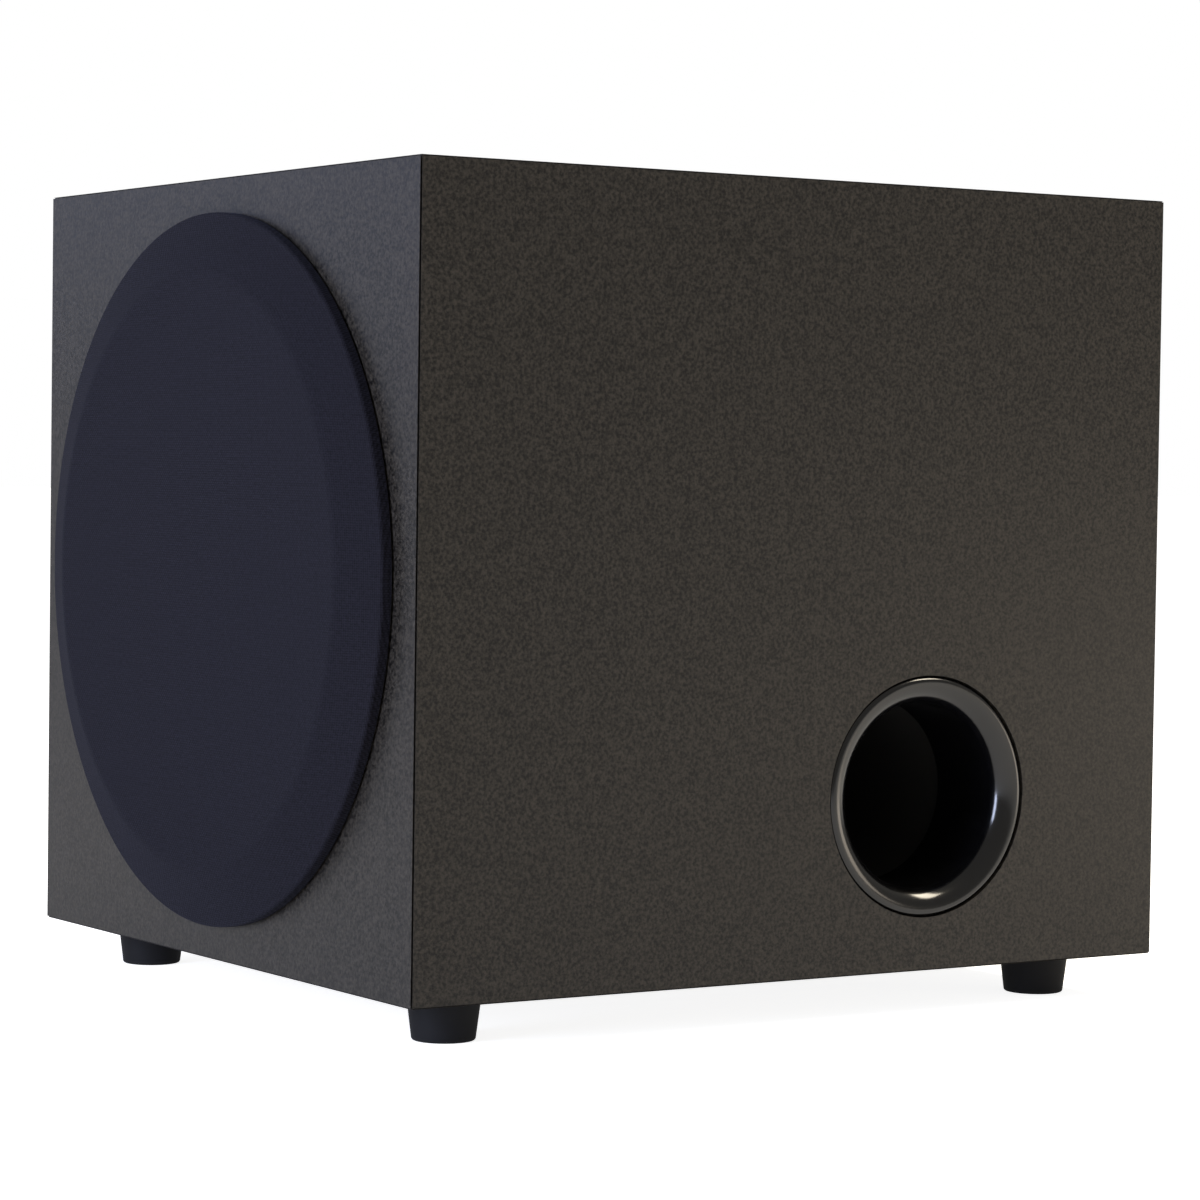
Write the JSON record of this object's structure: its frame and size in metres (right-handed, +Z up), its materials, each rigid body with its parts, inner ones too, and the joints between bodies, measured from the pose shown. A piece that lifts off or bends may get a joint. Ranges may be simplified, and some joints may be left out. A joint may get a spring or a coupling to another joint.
{
  "type": "subwoofer",
  "caption": "Powered subwoofer: black vinyl-wrapped box on small feet, round cloth grille over a long-throw driver in front, flared side port and a rear plate amplifier.",
  "frame": {"origin": "middle of the footprint, on the floor under the feet", "axes": "+Z up, -Y out of the grille at the front, +X towards the side with the port"},
  "size_m": [0.304, 0.371, 0.317],
  "materials": {
    "black_vinyl": "satin",
    "black_cloth": "matte",
    "black_abs": "matte",
    "gloss_black_abs": "gloss",
    "black_rubber": "matte",
    "grey_foam": "matte",
    "paper_pulp": "matte",
    "black_steel": "satin",
    "zinc_steel": "satin",
    "ferrite": "matte",
    "kapton_film": "gloss",
    "copper_wire": "satin",
    "phenolic_cloth": "matte",
    "cardboard_tube": "matte",
    "black_aluminium": "satin",
    "fibreglass_board": "satin",
    "lamination_steel": "satin",
    "capacitor_sleeve": "satin",
    "blue_lens": "gloss",
    "tinsel_braid": "satin",
    "pvc_lead": "satin"
  },
  "bodies": {
    "cabinet": {"amp_gasket": "grey_foam", "amp_plate": "black_aluminium", "bottom_panel": "black_vinyl", "capacitor_1": "capacitor_sleeve", "capacitor_2": "capacitor_sleeve", "circuit_board": "fibreglass_board", "crossover_pot": "black_abs", "driver_basket": "black_steel", "driver_gasket": "grey_foam", "driver_screw_1": "black_steel", "driver_screw_2": "black_steel", "driver_screw_3": "black_steel", "driver_screw_4": "black_steel", "driver_trim_ring": "black_rubber", "foot_1": "black_rubber", "foot_2": "black_rubber", "foot_3": "black_rubber", "foot_4": "black_rubber", "foot_screw_1": "zinc_steel", "foot_screw_2": "zinc_steel", "foot_screw_3": "zinc_steel", "foot_screw_4": "zinc_steel", "front_baffle": "black_vinyl", "grille_socket_1": "black_rubber", "grille_socket_2": "black_rubber", "grille_socket_3": "black_rubber", "grille_socket_4": "black_rubber", "heat_sink": "black_aluminium", "input_jacks": "black_abs", "left_panel": "black_vinyl", "level_pot": "black_abs", "magnet": "ferrite", "mains_inlet": "black_abs", "phase_switch": "black_steel", "port_flare": "gloss_black_abs", "port_tube": "cardboard_tube", "power_switch": "black_abs", "rear_panel": "black_vinyl", "right_panel": "black_vinyl", "speaker_lead": "pvc_lead", "spider": "phenolic_cloth", "status_led": "blue_lens", "surround": "black_rubber", "terminal_strip": "phenolic_cloth", "tinsel_lead_1": "tinsel_braid", "tinsel_lead_2": "tinsel_braid", "top_panel": "black_vinyl", "top_plate": "zinc_steel", "transformer": "lamination_steel", "yoke": "zinc_steel"},
    "grille": {"grille_frame": "black_abs", "grille_cloth": "black_cloth"},
    "cone_assembly": {"cone": "paper_pulp", "dust_cap": "paper_pulp", "coil_former": "kapton_film", "voice_coil": "copper_wire"},
    "level_control": {"level_knob": "black_abs"},
    "crossover_control": {"crossover_knob": "black_abs"},
    "power_control": {"power_rocker": "black_abs"},
    "phase_control": {"phase_slider": "black_abs"}
  },
  "joints": [
    {"name": "grille_pull", "type": "slide", "parent": "cabinet", "child": "grille", "axis": [0, -1, 0], "range_m": [0, 0.08]},
    {"name": "cone_travel", "type": "slide", "parent": "cabinet", "child": "cone_assembly", "axis": [0, -1, 0], "range_m": [-0.006, 0.006], "stiffness_N_per_m": 1800, "deforming": ["surround", "spider", "tinsel_lead_1", "tinsel_lead_2"]},
    {"name": "level_turn", "type": "hinge", "parent": "cabinet", "child": "level_control", "pos_m": [0.045, 0.1716, 0.187], "axis": [0, 1, 0], "range_deg": [-150, 150]},
    {"name": "crossover_turn", "type": "hinge", "parent": "cabinet", "child": "crossover_control", "pos_m": [0, 0.1716, 0.187], "axis": [0, 1, 0], "range_deg": [-150, 150]},
    {"name": "power_rock", "type": "hinge", "parent": "cabinet", "child": "power_control", "pos_m": [0.03, 0.1696, 0.089], "axis": [1, 0, 0], "range_deg": [-20, 0]},
    {"name": "phase_slide", "type": "slide", "parent": "cabinet", "child": "phase_control", "axis": [1, 0, 0], "range_m": [0, 0.004]}
  ]
}
